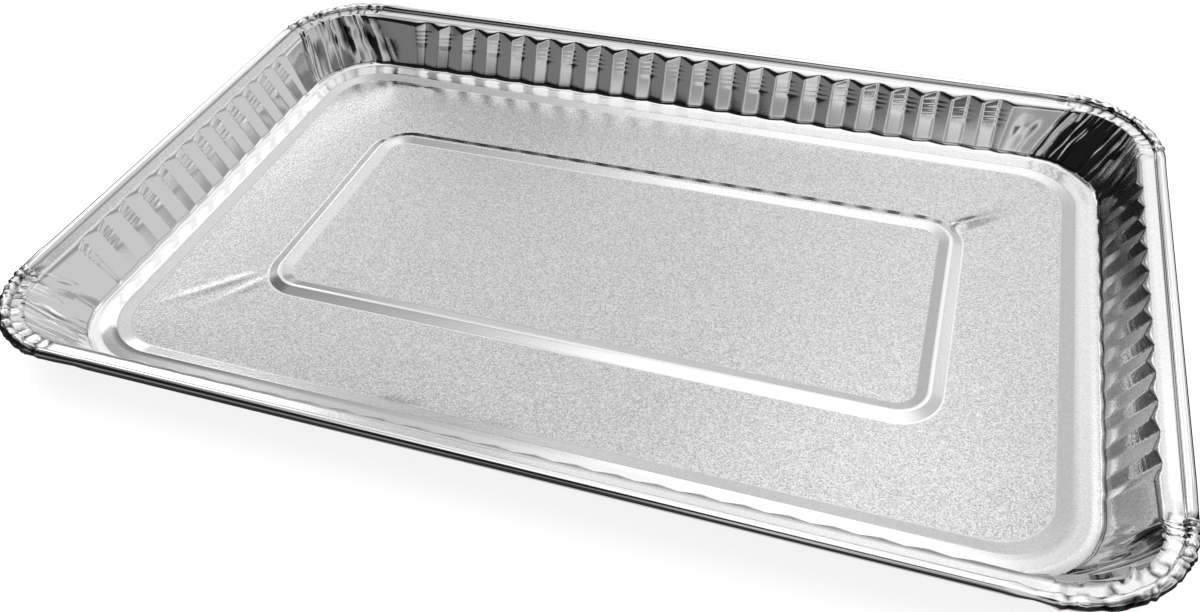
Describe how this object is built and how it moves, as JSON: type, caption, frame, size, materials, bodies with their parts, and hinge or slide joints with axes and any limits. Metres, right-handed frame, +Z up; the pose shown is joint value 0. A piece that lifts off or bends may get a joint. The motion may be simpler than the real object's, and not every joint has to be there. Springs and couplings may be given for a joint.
{
  "type": "foil cake pan",
  "caption": "Shallow rectangular foil cake pan with fluted walls, pleated corners, a rolled rim, a stepped ledge and a framed floor panel.",
  "frame": {"origin": "middle of the underside of the floor, where the pan stands", "axes": "+X along the pan's length, +Y across its width, +Z up through the open top"},
  "size_m": [0.324, 0.212, 0.0195],
  "materials": {
    "foil": "satin pressed foil with a fine rolled grain"
  },
  "bodies": {
    "root": {"pan": "foil"}
  },
  "joints": []
}
